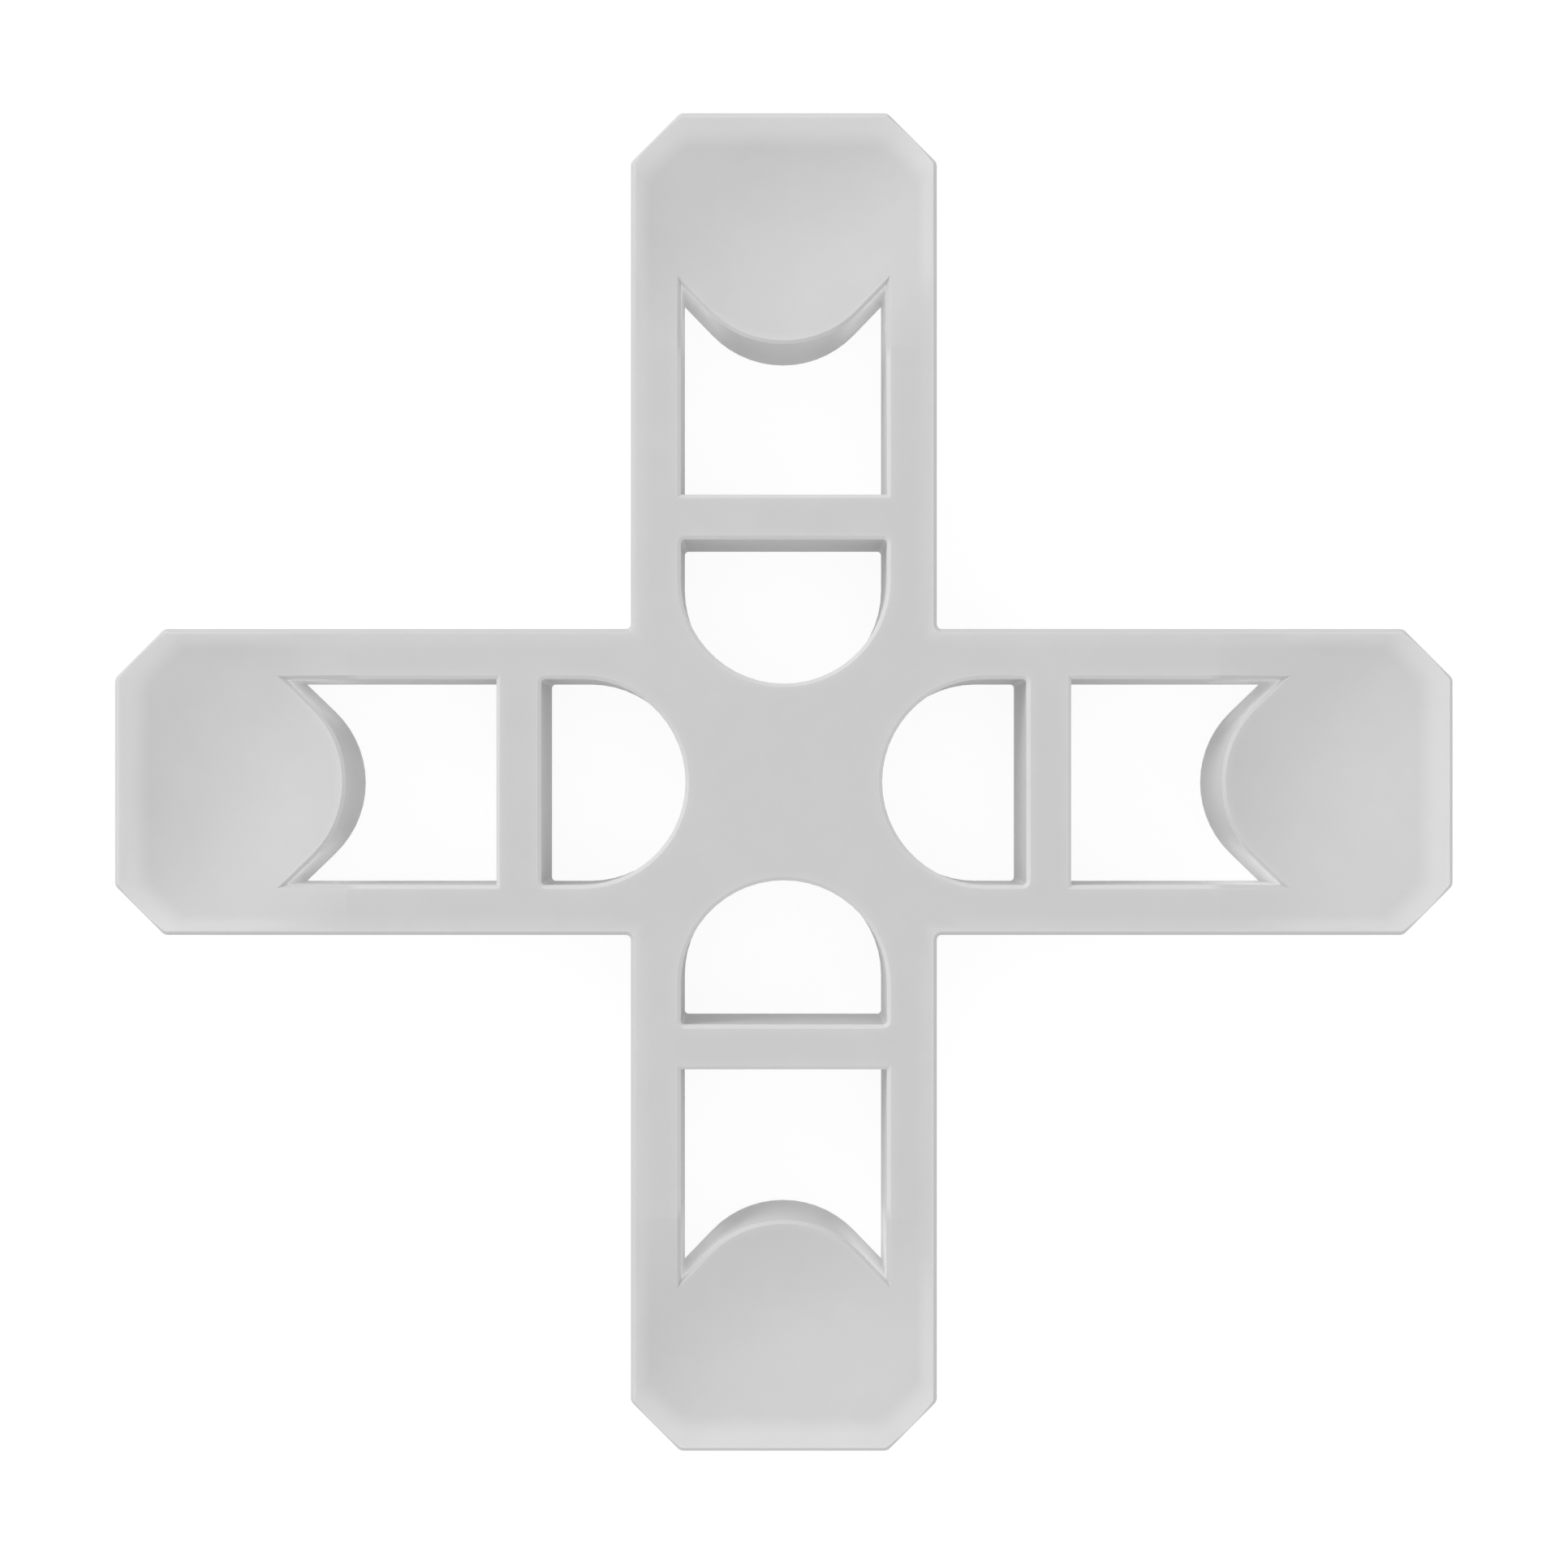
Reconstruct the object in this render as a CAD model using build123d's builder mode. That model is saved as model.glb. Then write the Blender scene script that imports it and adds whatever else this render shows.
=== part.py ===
from build123d import *
from math import cos, radians, sin, tan
import os

# Tile spacer: a flat moulded plastic cross that stands between four tiles and sets the width of their joints.
# Sizes are in millimetres. The origin is the middle of the underside, +Z is up, and the legs run along X and Y.

# Body of the cross
joint_width = 12.7  # across each leg: the gap that it keeps between two tiles
thickness = 4.76
leg_count = 4
inner_corner_radius = 0.2  # where two legs meet
edge_break = 0.15  # chamfer on every edge of the upper side

# Along the middle of one leg, in order from the centre of the cross to the leg's end
hub_reach = 4.08  # solid centre, up to the crown of the arched window
arched_window_length = 5.985
cross_bar_width = 1.86
open_window_length = 6.26  # up to the tip of the tongue
pad_length = 9.565  # from the tip of the tongue to the leg's end

# Across the leg, beside the windows
rail_width = 2.075
window_corner_radius = 0.17  # at the outer corners of the arched window

# Tongue: the inner edge of the pad, as round as the crown of the arched window
tongue_flank_angle = 46  # degrees, of its straight flanks, from a line across the leg

# End of the leg
corner_cut = 2.05  # the 45 degree cut takes this much off both sides of each corner
corner_radius = 0.35  # at both ends of the cut

# Dish: the hollow for a fingertip in the top of the pad
dish_depth = 1.22
dish_tip_overrun = 0.1  # it starts this far before the tip of the tongue
dish_border = 0.05  # flat left between the dish and the chamfers of the leg's end and sides

# Places along the leg
arched_window_end = hub_reach + arched_window_length
open_window_start = arched_window_end + cross_bar_width
tongue_tip = open_window_start + open_window_length
leg_reach = tongue_tip + pad_length
window_half_width = joint_width / 2 - rail_width

# The two windows of one leg, drawn along +X
crown_radius = window_half_width
crown_centre = hub_reach + crown_radius
tongue_radius = crown_radius
tongue_centre = tongue_tip + tongue_radius
flank_angle = radians(tongue_flank_angle)
flank_start = tongue_centre - tongue_radius * cos(flank_angle)
flank_half_width = tongue_radius * sin(flank_angle)
notch_tip = flank_start + (window_half_width - flank_half_width) * tan(flank_angle)

with BuildSketch() as leg_windows:
    with BuildLine():
        crown = CenterArc((crown_centre, 0), crown_radius, 90, 180)
        Polyline(
            crown @ 1,
            (arched_window_end, -window_half_width),
            (arched_window_end, window_half_width),
            crown @ 0,
        )
    make_face()
    fillet(leg_windows.vertices().group_by(Axis.X)[-1], window_corner_radius)

    with BuildLine():
        tongue = CenterArc((tongue_centre, 0), tongue_radius, 180 - tongue_flank_angle, 2 * tongue_flank_angle)
        Polyline(
            tongue @ 1,
            (notch_tip, -window_half_width),
            (open_window_start, -window_half_width),
            (open_window_start, window_half_width),
            (notch_tip, window_half_width),
            tongue @ 0,
        )
    make_face()

# The body that hollows out one dish. Its underside is a smooth patch stretched over a net of five by five
# points. The outer points are level with the top of the pad and the inner ones are pulled down, so that the
# dish falls steeply behind the tongue and softly across the rails, and is dish_depth deep in its middle.
dish_start = tongue_tip - dish_tip_overrun
dish_end = leg_reach - edge_break - dish_border
dish_half_width = joint_width / 2 - edge_break - dish_border

dish_pulls = (  # in dish depths, one row for each line of points across the leg
    (0, 0, 0, 0, 0),  # at the tip of the tongue
    (0, 0, 2.5, 0, 0),
    (0, 2.1, 1.1, 2.1, 0),
    (0, 1, 1, 1, 0),
    (0, 0, 0, 0, 0),  # at the leg's end
)
step_along = (dish_end - dish_start) / 4
step_across = dish_half_width / 2
dish_net = [
    [
        (dish_start + row * step_along, (column - 2) * step_across, thickness - pull * dish_depth)
        for column, pull in enumerate(pulls)
    ]
    for row, pulls in enumerate(dish_pulls)
]

with BuildPart() as dish_cutter:
    extrude(Face.make_bezier_surface(dish_net), amount=2 * dish_depth, dir=(0, 0, 1))


def is_above_window(edge):
    """True for an upper edge of a window, whether flat or lowered by the dish."""
    middle = edge @ 0.5
    on_outline = all_windows.sketch.distance_to(Vertex(middle.X, middle.Y, 0)) < edge_break / 10
    return on_outline and middle.Z > thickness / 2


with BuildPart() as tile_spacer:
    # The solid cross, its corners cut and rounded
    with BuildSketch() as cross_outline:
        with PolarLocations(0, leg_count):
            Rectangle(leg_reach, joint_width, align=(Align.MIN, Align.CENTER))
        fillet(cross_outline.vertices().group_by(SortBy.DISTANCE)[0], inner_corner_radius)
        chamfer(cross_outline.vertices().group_by(SortBy.DISTANCE)[-1], corner_cut)
        cut_ends = cross_outline.vertices().filter_by(lambda end: end.center().length > notch_tip)
        fillet(cut_ends, corner_radius)
    extrude(amount=thickness)
    chamfer(tile_spacer.faces().sort_by(Axis.Z)[-1].edges(), edge_break)

    # The windows go right through
    with BuildSketch() as all_windows:
        with PolarLocations(0, leg_count):
            add(leg_windows.sketch)
    extrude(amount=thickness, mode=Mode.SUBTRACT)

    # The dishes
    with PolarLocations(0, leg_count):
        add(dish_cutter.part, mode=Mode.SUBTRACT)

    # The windows' upper edges are broken last, because they follow the dishes
    window_edges = tile_spacer.edges().filter_by(Axis.Z, reverse=True).filter_by(is_above_window)
    chamfer(window_edges, edge_break)

tile_spacer.part.label = "tile_spacer"
os.makedirs("parts", exist_ok=True)
export_step(tile_spacer.part, "parts/tile_spacer.step")
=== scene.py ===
import bpy
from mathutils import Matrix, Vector


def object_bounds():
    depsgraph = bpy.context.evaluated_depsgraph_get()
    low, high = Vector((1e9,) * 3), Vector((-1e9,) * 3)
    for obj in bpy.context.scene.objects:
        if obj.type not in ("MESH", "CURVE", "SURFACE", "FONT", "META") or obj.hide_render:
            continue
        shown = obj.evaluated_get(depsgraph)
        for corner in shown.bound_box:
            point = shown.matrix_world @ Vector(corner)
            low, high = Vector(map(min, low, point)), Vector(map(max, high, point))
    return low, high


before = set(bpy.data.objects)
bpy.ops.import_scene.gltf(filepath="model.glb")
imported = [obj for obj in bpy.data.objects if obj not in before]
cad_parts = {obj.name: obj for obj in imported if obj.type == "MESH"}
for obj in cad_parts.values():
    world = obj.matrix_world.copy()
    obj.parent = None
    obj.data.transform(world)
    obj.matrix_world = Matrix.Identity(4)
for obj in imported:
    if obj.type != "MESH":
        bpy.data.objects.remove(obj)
cad_low, cad_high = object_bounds()
scene = bpy.context.scene

# Tile spacer: a cross moulded in one shot from natural polyethylene, a milky plastic that lets a little
# light through. The mould was spark-eroded and lightly polished, so the skin is satin, with a very fine
# grain and a faint cloudiness where the plastic flowed and cooled unevenly.
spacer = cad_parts["tile_spacer"]
MM = 0.001


def linear(hex_colour):
    """Turns an sRGB hex colour into the linear numbers that the shaders take."""
    channels = [int(hex_colour[i:i + 2], 16) / 255 for i in (1, 3, 5)]
    return [c / 12.92 if c <= 0.04045 else ((c + 0.055) / 1.055) ** 2.4 for c in channels] + [1.0]


def add_node(tree, kind, settings=None, inputs=None):
    """Adds a node with its settings. Each of its inputs gets a link, if given a socket, or else a value."""
    node = tree.nodes.new(kind)
    for name, value in (settings or {}).items():
        setattr(node, name, value)
    for name, source in (inputs or {}).items():
        if isinstance(source, bpy.types.NodeSocket):
            tree.links.new(source, node.inputs[name])
        else:
            node.inputs[name].default_value = source
    return node


polyethylene = bpy.data.materials.new("natural_polyethylene_satin_mould_skin")
polyethylene.use_nodes = True
tree = polyethylene.node_tree
tree.nodes.clear()

# All four legs are alike, so a spot on the skin is placed by how far it lies along its leg and across it,
# from the middle of the cross, and then by its distance from the leg's end, from its side and from the
# corner cut.
LEG_END = cad_high[0]
LEG_SIDE = 6.35 * MM
CORNER_CUT = 2.05 * MM
SQUARE_TO_CUT = 0.7071  # what a step along or across the leg counts for, square to the 45 degree cut
place = add_node(tree, "ShaderNodeTexCoord")
spot = add_node(tree, "ShaderNodeSeparateXYZ", inputs={0: place.outputs["Object"]})
size_x = add_node(tree, "ShaderNodeMath", {"operation": "ABSOLUTE"}, {0: spot.outputs["X"]})
size_y = add_node(tree, "ShaderNodeMath", {"operation": "ABSOLUTE"}, {0: spot.outputs["Y"]})
sizes = {0: size_x.outputs[0], 1: size_y.outputs[0]}
along = add_node(tree, "ShaderNodeMath", {"operation": "MAXIMUM"}, sizes)
across = add_node(tree, "ShaderNodeMath", {"operation": "MINIMUM"}, sizes)
slant = add_node(tree, "ShaderNodeMath", {"operation": "ADD"}, sizes)
from_end = add_node(tree, "ShaderNodeMath", {"operation": "SUBTRACT"}, {0: LEG_END, 1: along.outputs[0]})
from_side = add_node(tree, "ShaderNodeMath", {"operation": "SUBTRACT"}, {0: LEG_SIDE, 1: across.outputs[0]})
from_cut = add_node(
    tree, "ShaderNodeMath", {"operation": "MULTIPLY_ADD"},
    {0: slant.outputs[0], 1: -SQUARE_TO_CUT, 2: SQUARE_TO_CUT * (LEG_END + LEG_SIDE - CORNER_CUT)},
)

# The skin on top, the walls, and the broken edges between them are told apart by how far up they face,
# which is 1 for level skin, 0.71 for a broken edge and 0 for a wall.
SKIN_STARTS = 0.75
SKIN_WHOLLY = 0.85
WALL_STARTS = 0.6
WALL_WHOLLY = 0.3
face = add_node(tree, "ShaderNodeSeparateXYZ", inputs={0: place.outputs["Normal"]})
upper_skin = add_node(
    tree, "ShaderNodeMapRange",
    inputs={"Value": face.outputs["Z"], "From Min": SKIN_STARTS, "From Max": SKIN_WHOLLY},
)
walls = add_node(
    tree, "ShaderNodeMapRange",
    inputs={"Value": face.outputs["Z"], "From Min": WALL_STARTS, "From Max": WALL_WHOLLY},
)

# Light coming in through the outer walls is painted into the colour as a soft paler band just inside them, a
# painted glow. The band is widest at the leg's end, a little narrower at the corner cuts and much narrower
# along the sides, and turns the corners in easy curves.
BAND_WIDTH = 1.6 * MM
BAND_CORE = 0.55 * MM
NARROWER_AT_CUT = 0.25 * MM
NARROWER_AT_SIDE = 0.9 * MM
CURVE_AT_CUT = 0.6 * MM
CURVE_AT_SIDE = 0.8 * MM
cut_for_band = add_node(
    tree, "ShaderNodeMath", {"operation": "ADD"}, {0: from_cut.outputs[0], 1: NARROWER_AT_CUT}
)
side_for_band = add_node(
    tree, "ShaderNodeMath", {"operation": "ADD"}, {0: from_side.outputs[0], 1: NARROWER_AT_SIDE}
)
near_end = add_node(
    tree, "ShaderNodeMath", {"operation": "SMOOTH_MIN"},
    {0: from_end.outputs[0], 1: cut_for_band.outputs[0], 2: CURVE_AT_CUT},
)
near_rim = add_node(
    tree, "ShaderNodeMath", {"operation": "SMOOTH_MIN"},
    {0: near_end.outputs[0], 1: side_for_band.outputs[0], 2: CURVE_AT_SIDE},
)
band = add_node(
    tree, "ShaderNodeMapRange", {"interpolation_type": "SMOOTHSTEP"},
    {"Value": near_rim.outputs[0], "From Min": BAND_WIDTH, "From Max": BAND_CORE},
)

# A strip of the same painted glow along each side widens the band there, more on the pads than on the rails.
# It stops short of the inner corners.
STRIP_WIDTH = 0.95 * MM
STRIP_CORE = 0.35 * MM
STRIP_ON_RAIL = 0.28
STRIP_MORE_ON_PAD = 0.42
STRIP_FADE = 1 * MM
PAD_STARTS = 19 * MM
PAD_WHOLLY = 22 * MM
side_strip = add_node(
    tree, "ShaderNodeMapRange", {"interpolation_type": "SMOOTHSTEP"},
    {"Value": from_side.outputs[0], "From Min": STRIP_WIDTH, "From Max": STRIP_CORE},
)
clear_of_hub = add_node(
    tree, "ShaderNodeMapRange",
    inputs={
        "Value": along.outputs[0],
        "From Min": LEG_SIDE, "From Max": LEG_SIDE + STRIP_FADE, "To Max": STRIP_ON_RAIL,
    },
)
on_pad = add_node(
    tree, "ShaderNodeMapRange", {"interpolation_type": "SMOOTHSTEP"},
    {"Value": along.outputs[0], "From Min": PAD_STARTS, "From Max": PAD_WHOLLY},
)
strip_strength = add_node(
    tree, "ShaderNodeMath", {"operation": "MULTIPLY_ADD"},
    {0: on_pad.outputs[0], 1: STRIP_MORE_ON_PAD, 2: clear_of_hub.outputs[0]},
)
strips = add_node(
    tree, "ShaderNodeMath", {"operation": "MULTIPLY"},
    {0: side_strip.outputs[0], 1: strip_strength.outputs[0]},
)

# Every other edge gets a much fainter painted glow, a pale line. How much plastic is missing below a spot,
# within the width of the line, tells how near the spot is to an edge.
EDGE_LINE_WIDTH = 0.6 * MM
EDGE_LINE_STRENGTH = 0.3
PLASTIC_WHOLE = 1.0
PLASTIC_HALF_GONE = 0.5
FEELERS = 8
plastic_below = add_node(
    tree, "ShaderNodeAmbientOcclusion", {"inside": True, "only_local": True, "samples": FEELERS},
    {"Distance": EDGE_LINE_WIDTH},
)
edge_line = add_node(
    tree, "ShaderNodeMapRange",
    inputs={
        "Value": plastic_below.outputs["AO"],
        "From Min": PLASTIC_WHOLE, "From Max": PLASTIC_HALF_GONE, "To Max": EDGE_LINE_STRENGTH,
    },
)

# In the dishes, where the plastic is thinner, the colour is painted a little paler: painted light that lifts
# the dishes' own shade.
TOP = cad_high[2]
DISH_DEPTH = 1.22 * MM
DISH_STRENGTH = 0.32
painted_dish_light = add_node(
    tree, "ShaderNodeMapRange",
    inputs={
        "Value": spot.outputs["Z"],
        "From Min": TOP, "From Max": TOP - DISH_DEPTH, "To Max": DISH_STRENGTH,
    },
)
# The painted glows and the painted dish light are joined, each spot taking the strongest.
painted_glow = band
for more in (strips, edge_line, painted_dish_light):
    painted_glow = add_node(
        tree, "ShaderNodeMath", {"operation": "MAXIMUM"}, {0: painted_glow.outputs[0], 1: more.outputs[0]}
    )

# The broken edges round the windows are painted paler still: painted light standing in for light from the
# windows' walls that comes out there. Those of the outline, near the side, and those round the tongues are
# not.
OUTLINE_ENDS = 0.3 * MM
WINDOWS_START = 0.6 * MM
TONGUE_NEARS = 17.6 * MM
TONGUE_STARTS = 18.2 * MM
inside_leg = add_node(
    tree, "ShaderNodeMapRange",
    inputs={"Value": from_side.outputs[0], "From Min": OUTLINE_ENDS, "From Max": WINDOWS_START},
)
before_tongue = add_node(
    tree, "ShaderNodeMapRange",
    inputs={"Value": along.outputs[0], "From Min": TONGUE_STARTS, "From Max": TONGUE_NEARS},
)
window_edge = add_node(
    tree, "ShaderNodeMath", {"operation": "MINIMUM"}, {0: inside_leg.outputs[0], 1: before_tongue.outputs[0]}
)
# The plastic's own colour is #CBCBCB; #D8D8D8 is the painted light that these masks lift it towards.
skin_painted_glow = add_node(
    tree, "ShaderNodeMix", {"data_type": "FLOAT"},
    {"Factor": upper_skin.outputs[0], 2: window_edge.outputs[0], 3: painted_glow.outputs[0]},
)
skin_colour = add_node(
    tree, "ShaderNodeMix", {"data_type": "RGBA"},
    {"Factor": skin_painted_glow.outputs[0], 6: linear("#CBCBCB"), 7: linear("#D8D8D8")},
)

# The walls near and round the pads are painted a shade paler than the others: painted light standing in for
# light that comes down to them through the dishes. #CACACA is the walls' own colour and #D4D4D4 the painted
# light.
PAINTED_WALL_LIGHT_START = 13.5 * MM
PAINTED_WALL_LIGHT_WHOLLY = 18.5 * MM
near_pad = add_node(
    tree, "ShaderNodeMapRange", {"interpolation_type": "SMOOTHSTEP"},
    {"Value": along.outputs[0], "From Min": PAINTED_WALL_LIGHT_START, "From Max": PAINTED_WALL_LIGHT_WHOLLY},
)
plain_wall = add_node(
    tree, "ShaderNodeMix", {"data_type": "RGBA"},
    {"Factor": near_pad.outputs[0], 6: linear("#CACACA"), 7: linear("#D4D4D4")},
)

# In the sharp notches beside each tongue the walls stand so close that they lie deep in shade, and their
# colour is painted palest, #FBFBFB: painted light that lifts that shade. How open the space in front of a
# spot is, as far as NOTCH_REACH, tells where. The square corners of the windows stay plain, because they
# aren't near a pad.
NOTCH_REACH = 3 * MM
NOTCH_STARTS = 0.8
NOTCH_WHOLLY = 0.4
open_ahead = add_node(
    tree, "ShaderNodeAmbientOcclusion", {"only_local": True, "samples": FEELERS}, {"Distance": NOTCH_REACH}
)
in_notch = add_node(
    tree, "ShaderNodeMapRange",
    inputs={
        "Value": open_ahead.outputs["AO"],
        "From Min": NOTCH_STARTS, "From Max": NOTCH_WHOLLY, "To Max": near_pad.outputs[0],
    },
)
wall_colour = add_node(
    tree, "ShaderNodeMix", {"data_type": "RGBA"},
    {"Factor": in_notch.outputs[0], 6: plain_wall.outputs[2], 7: linear("#FBFBFB")},
)
colour = add_node(
    tree, "ShaderNodeMix", {"data_type": "RGBA"},
    {"Factor": walls.outputs[0], 6: skin_colour.outputs[2], 7: wall_colour.outputs[2]},
)

# Where the plastic flowed and cooled unevenly it is cloudy, up to CLOUDINESS lighter or darker, in soft
# patches about CLOUD wide.
CLOUD = 2 * MM
CLOUDINESS = 0.03
cloud = add_node(
    tree, "ShaderNodeTexNoise",
    inputs={"Vector": place.outputs["Object"], "Scale": 1 / CLOUD, "Detail": 3.0, "Roughness": 0.6},
)
cloud_shade = add_node(
    tree, "ShaderNodeMapRange",
    inputs={"Value": cloud.outputs["Fac"], "To Min": 1 - CLOUDINESS, "To Max": 1 + CLOUDINESS},
)
cloudy_colour = add_node(
    tree, "ShaderNodeVectorMath", {"operation": "SCALE"},
    {0: colour.outputs[2], "Scale": cloud_shade.outputs[0]},
)

# Part of the light goes into the milky plastic and comes out again close by. In the notches all of it
# does, and it wanders as far as from wall to wall.
SCATTERED = 0.3
SCATTERED_IN_NOTCH = 1.0
REACH = 0.25 * MM
REACH_IN_NOTCH = 3.0 * MM
notch_walls = add_node(
    tree, "ShaderNodeMath", {"operation": "MULTIPLY"}, {0: walls.outputs[0], 1: in_notch.outputs[0]}
)
scatter_share = add_node(
    tree, "ShaderNodeMapRange",
    inputs={"Value": notch_walls.outputs[0], "To Min": SCATTERED, "To Max": SCATTERED_IN_NOTCH},
)
scatter_reach = add_node(
    tree, "ShaderNodeMapRange",
    inputs={"Value": notch_walls.outputs[0], "To Min": REACH, "To Max": REACH_IN_NOTCH},
)

# Grain that the spark-eroded mould leaves all over, with a little more gloss on some grains than on
# others. The real grain is about 0.03 mm, too fine to show here, so it is drawn 0.2 mm wide. Its noise
# runs from 0 to 1 but mostly keeps to the middle half, so the pits are about half of GRAIN_HEIGHT deep.
GRAIN = 0.2 * MM
GRAIN_HEIGHT = 0.003 * MM
GLOSSIEST = 0.54
DULLEST = 0.66
grain = add_node(
    tree, "ShaderNodeTexNoise",
    inputs={"Vector": place.outputs["Object"], "Scale": 1 / GRAIN, "Detail": 2.0, "Roughness": 0.6},
)
grain_height = add_node(
    tree, "ShaderNodeMath", {"operation": "MULTIPLY"}, {0: grain.outputs["Fac"], 1: GRAIN_HEIGHT}
)
grainy_surface = add_node(
    tree, "ShaderNodeBump", inputs={"Height": grain_height.outputs[0], "Distance": 1.0}
)
gloss = add_node(
    tree, "ShaderNodeMapRange",
    inputs={"Value": grain.outputs["Fac"], "To Min": GLOSSIEST, "To Max": DULLEST},
)

shader = add_node(
    tree, "ShaderNodeBsdfPrincipled", {"subsurface_method": "RANDOM_WALK"},
    {
        "Base Color": cloudy_colour.outputs[0],
        "Subsurface Weight": scatter_share.outputs[0],
        "Subsurface Scale": scatter_reach.outputs[0],
        "Subsurface Radius": (1.0, 1.0, 1.0),
        "Roughness": gloss.outputs[0],
        "Normal": grainy_surface.outputs[0],
        "IOR": 1.51,
    },
)
add_node(tree, "ShaderNodeOutputMaterial", inputs={"Surface": shader.outputs["BSDF"]})
spacer.data.materials[0] = polyethylene

# Floor: a white translucent photographic table, lit from the top and softly from below, which lifts the
# shade in the windows. It is seen as the plain white of the picture: most of that white is its own glow,
# and the rest is light that falls on it, which keeps the spacer's faint shadow.
FLOOR_WIDTH = 4.0
FLOOR_DROP = 0.01 * MM  # just below the spacer's underside
GLOW_ON_SPACER = 0.33
GLOW_SEEN = 0.9
SHADED_SHARE = 0.14
bpy.ops.object.select_all(action="DESELECT")
bpy.ops.mesh.primitive_plane_add(size=FLOOR_WIDTH, location=(0, 0, -FLOOR_DROP))
floor = bpy.context.object
floor.name = "floor"


def what_is_seen(tree):
    """Gives 1 for rays that show a surface, straight, mirrored or through glass, and 0 for other light."""
    ray = add_node(tree, "ShaderNodeLightPath")
    straight_or_mirrored = add_node(
        tree, "ShaderNodeMath", {"operation": "MAXIMUM"},
        {0: ray.outputs["Is Camera Ray"], 1: ray.outputs["Is Glossy Ray"]},
    )
    seen = add_node(
        tree, "ShaderNodeMath", {"operation": "MAXIMUM"},
        {0: straight_or_mirrored.outputs[0], 1: ray.outputs["Is Transmission Ray"]},
    )
    return seen.outputs[0]


white_table = bpy.data.materials.new("white_table")
white_table.use_nodes = True
tree = white_table.node_tree
tree.nodes.clear()
table_top = add_node(tree, "ShaderNodeBsdfDiffuse", inputs={"Color": linear("#BCBCBC")})
lit_below = add_node(
    tree, "ShaderNodeEmission", inputs={"Color": linear("#FFFFFF"), "Strength": GLOW_ON_SPACER}
)
table = add_node(tree, "ShaderNodeAddShader", inputs={0: table_top.outputs[0], 1: lit_below.outputs[0]})
shaded_white = add_node(
    tree, "ShaderNodeBsdfDiffuse", inputs={"Color": (SHADED_SHARE, SHADED_SHARE, SHADED_SHARE, 1.0)}
)
own_white = add_node(tree, "ShaderNodeEmission", inputs={"Color": linear("#FFFFFF"), "Strength": GLOW_SEEN})
picture = add_node(tree, "ShaderNodeAddShader", inputs={0: own_white.outputs[0], 1: shaded_white.outputs[0]})
surface = add_node(
    tree, "ShaderNodeMixShader", inputs={0: what_is_seen(tree), 1: table.outputs[0], 2: picture.outputs[0]}
)
add_node(tree, "ShaderNodeOutputMaterial", inputs={"Surface": surface.outputs[0]})
floor.data.materials.append(white_table)

# Light: one wide softbox on the left behind the spacer, 26 degrees above the table, and an even white
# tent all round, which is seen as plain white.
TENT = 0.86
SOFTBOX_PLACE = Vector((-0.460, 0.395, 0.296))
SOFTBOX_WIDTH = 0.35
SOFTBOX_WATTS = 1.49
world = bpy.data.worlds.new("tent")
scene.world = world
world.use_nodes = True
tree = world.node_tree
tree.nodes.clear()
tent = add_node(tree, "ShaderNodeBackground", inputs={"Color": linear("#FFFFFF"), "Strength": TENT})
white = add_node(tree, "ShaderNodeBackground", inputs={"Color": linear("#FFFFFF"), "Strength": 1.0})
backdrop = add_node(
    tree, "ShaderNodeMixShader", inputs={0: what_is_seen(tree), 1: tent.outputs[0], 2: white.outputs[0]}
)
add_node(tree, "ShaderNodeOutputWorld", inputs={"Surface": backdrop.outputs[0]})

bpy.ops.object.light_add(type="AREA", location=SOFTBOX_PLACE)
softbox = bpy.context.object
softbox.name = "softbox"
softbox.rotation_euler = SOFTBOX_PLACE.to_track_quat("Z", "Y").to_euler()
softbox.data.shape = "SQUARE"
softbox.data.size = SOFTBOX_WIDTH
softbox.data.energy = SOFTBOX_WATTS

# Camera: straight down, 95.7 mm above the floor, a little left and in front of the spacer's middle. The
# shift puts the spacer where it lies in the picture.
CAMERA_PLACE = Vector((-0.73, -0.62, 95.7)) * MM
camera_data = bpy.data.cameras.new("camera")
camera_data.lens = 50.4
camera_data.sensor_width = 36
camera_data.shift_x = 0.01136
camera_data.shift_y = 0.00823
camera_data.clip_start = 1 * MM
camera_data.clip_end = 10
camera = bpy.data.objects.new("camera", camera_data)
camera.location = CAMERA_PLACE
scene.collection.objects.link(camera)
scene.camera = camera

scene.view_settings.view_transform = "Standard"
